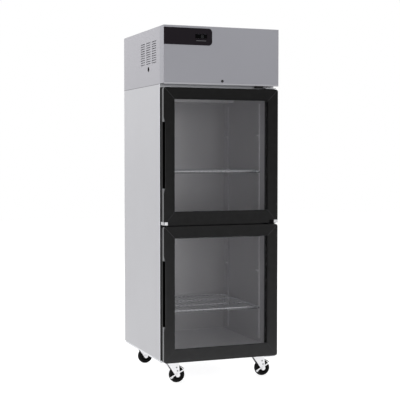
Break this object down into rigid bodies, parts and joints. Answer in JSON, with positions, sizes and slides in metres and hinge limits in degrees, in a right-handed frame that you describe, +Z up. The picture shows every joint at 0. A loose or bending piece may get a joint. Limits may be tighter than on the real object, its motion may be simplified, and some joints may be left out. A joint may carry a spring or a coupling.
{
  "type": "glass door merchandiser",
  "caption": "Tall insulated display cabinet with stacked glazed doors hinged on the right, wire shelves, a top machine compartment with a lift-up hood, and swivel casters.",
  "frame": {"origin": "on the floor under the middle of the whole body", "axes": "+X to the right seen from the front, +Y to the back, +Z up; the doors face -Y"},
  "size_m": [0.696, 0.768, 2.017],
  "materials": {
    "casing_silver": "satin silver grey paint on sheet steel",
    "foam": "foamed in place insulation, closed in on all sides",
    "liner_grey": "smooth light grey inner skin",
    "frame_grey": "satin grey door opening frame",
    "base_grey": "folded galvanised steel, dull",
    "bumper_black": "moulded black rubber",
    "hinge_steel": "zinc plated steel plate",
    "switch_black": "fine moulded texture",
    "pilaster_steel": "slotted steel strip",
    "clip_steel": "bright bent steel",
    "shelf_white": "light grey coated wire",
    "lamp_white": "opal diffuser, unlit",
    "zinc_steel": "bright zinc plating",
    "canopy_grey": "satin silver grey paint on sheet steel",
    "hood_grey": "satin mid grey paint",
    "fascia_black": "dark satin panel, bare",
    "display_black": "smoked window over plain digits",
    "tray_steel": "galvanised sheet",
    "compressor_black": "black enamel",
    "coil_fins": "thin aluminium fins",
    "fan_black": "moulded plastic",
    "copper": "bare copper tube",
    "box_white": "rigid foam box",
    "door_black": "black satin extrusion",
    "door_silver": "mill finish extrusion",
    "door_inner_black": "black extrusion",
    "door_glass": "clear insulated glass, two panes",
    "gasket_black": "soft magnetic gasket",
    "grip_black": "moulded grip liner",
    "block_silver": "cast corner piece",
    "wheel_black": "black tread on a black moulded hub"
  },
  "bodies": {
    "cabinet": {"outer_casing": "casing_silver", "foam_body": "foam", "inner_liner": "liner_grey", "breaker_frame": "frame_grey", "mullion": "frame_grey", "base_frame": "base_grey", "rear_bumpers": "bumper_black", "hinge_brackets": "hinge_steel", "door_switch": "switch_black", "pilasters": "pilaster_steel", "shelf_clips": "clip_steel", "shelf_upper": "shelf_white", "shelf_middle": "shelf_white", "shelf_lower": "shelf_white", "lamp_strips": "lamp_white", "duct_cover": "liner_grey", "caster_plates": "zinc_steel", "canopy_shell": "canopy_grey", "canopy_top": "canopy_grey", "cord_grommet": "bumper_black", "unit_tray": "tray_steel", "compressor": "compressor_black", "condenser_coil": "coil_fins", "fan_shroud": "fan_black", "control_box": "tray_steel", "refrigerant_pipes": "copper", "evaporator_housing": "box_white", "evaporator_coil": "coil_fins", "evaporator_motor": "fan_black"},
    "upper_door": {"upper_door_bezel": "door_black", "upper_door_core": "door_silver", "upper_door_inner_frame": "door_inner_black", "upper_door_glass": "door_glass", "upper_door_spacer": "door_silver", "upper_door_gasket": "gasket_black", "upper_door_grip": "grip_black", "upper_door_corner_blocks": "block_silver"},
    "lower_door": {"lower_door_bezel": "door_black", "lower_door_core": "door_silver", "lower_door_inner_frame": "door_inner_black", "lower_door_glass": "door_glass", "lower_door_spacer": "door_silver", "lower_door_gasket": "gasket_black", "lower_door_grip": "grip_black"},
    "hood": {"hood": "hood_grey", "control_fascia": "fascia_black", "display_window": "display_black"},
    "hood_latch": {"hood_latch": "switch_black"},
    "condenser_fan": {"condenser_fan_blade": "fan_black"},
    "evaporator_fan": {"evaporator_fan_blade": "fan_black"},
    "caster_front_left": {"fork_front_left": "zinc_steel"},
    "wheel_front_left": {"wheel_front_left": "wheel_black"},
    "brake_front_left": {"brake_front_left": "zinc_steel"},
    "caster_front_right": {"fork_front_right": "zinc_steel"},
    "wheel_front_right": {"wheel_front_right": "wheel_black"},
    "brake_front_right": {"brake_front_right": "zinc_steel"},
    "caster_rear_left": {"fork_rear_left": "zinc_steel"},
    "wheel_rear_left": {"wheel_rear_left": "wheel_black"},
    "caster_rear_right": {"fork_rear_right": "zinc_steel"},
    "wheel_rear_right": {"wheel_rear_right": "wheel_black"}
  },
  "joints": [
    {"name": "upper_door_hinge", "type": "hinge", "parent": "cabinet", "child": "upper_door", "pos_m": [0.334, -0.352, 1.293], "axis": [0, 0, 1], "range_deg": [0, 110]},
    {"name": "lower_door_hinge", "type": "hinge", "parent": "cabinet", "child": "lower_door", "pos_m": [0.334, -0.352, 0.519], "axis": [0, 0, 1], "range_deg": [0, 110]},
    {"name": "hood_lift", "type": "hinge", "parent": "cabinet", "child": "hood", "pos_m": [0, -0.324, 2.009], "axis": [-1, 0, 0], "range_deg": [0, 85]},
    {"name": "latch_turn", "type": "hinge", "parent": "hood", "child": "hood_latch", "pos_m": [0, -0.384, 1.715], "axis": [0, 1, 0], "range_deg": [0, 90]},
    {"name": "condenser_fan_spin", "type": "hinge", "parent": "cabinet", "child": "condenser_fan", "pos_m": [-0.262, -0.114, 1.814], "axis": [1, 0, 0], "continuous": true},
    {"name": "evaporator_fan_spin", "type": "hinge", "parent": "cabinet", "child": "evaporator_fan", "pos_m": [0.146, 0.252, 1.815], "axis": [1, 0, 0], "continuous": true},
    {"name": "swivel_front_left", "type": "hinge", "parent": "cabinet", "child": "caster_front_left", "pos_m": [-0.267, -0.264, 0.12], "axis": [0, 0, 1], "continuous": true},
    {"name": "roll_front_left", "type": "hinge", "parent": "caster_front_left", "child": "wheel_front_left", "pos_m": [-0.233, -0.264, 0.046], "axis": [0, 1, 0], "continuous": true},
    {"name": "brake_front_left", "type": "hinge", "parent": "caster_front_left", "child": "brake_front_left", "pos_m": [-0.233, -0.264, 0.046], "axis": [0, -1, 0], "range_deg": [0, 15]},
    {"name": "swivel_front_right", "type": "hinge", "parent": "cabinet", "child": "caster_front_right", "pos_m": [0.267, -0.264, 0.12], "axis": [0, 0, 1], "continuous": true},
    {"name": "roll_front_right", "type": "hinge", "parent": "caster_front_right", "child": "wheel_front_right", "pos_m": [0.301, -0.264, 0.046], "axis": [0, 1, 0], "continuous": true},
    {"name": "brake_front_right", "type": "hinge", "parent": "caster_front_right", "child": "brake_front_right", "pos_m": [0.301, -0.264, 0.046], "axis": [0, -1, 0], "range_deg": [0, 15]},
    {"name": "swivel_rear_left", "type": "hinge", "parent": "cabinet", "child": "caster_rear_left", "pos_m": [-0.267, 0.322, 0.12], "axis": [0, 0, 1], "continuous": true},
    {"name": "roll_rear_left", "type": "hinge", "parent": "caster_rear_left", "child": "wheel_rear_left", "pos_m": [-0.233, 0.322, 0.046], "axis": [0, 1, 0], "continuous": true},
    {"name": "swivel_rear_right", "type": "hinge", "parent": "cabinet", "child": "caster_rear_right", "pos_m": [0.267, 0.322, 0.12], "axis": [0, 0, 1], "continuous": true},
    {"name": "roll_rear_right", "type": "hinge", "parent": "caster_rear_right", "child": "wheel_rear_right", "pos_m": [0.301, 0.322, 0.046], "axis": [0, 1, 0], "continuous": true}
  ]
}
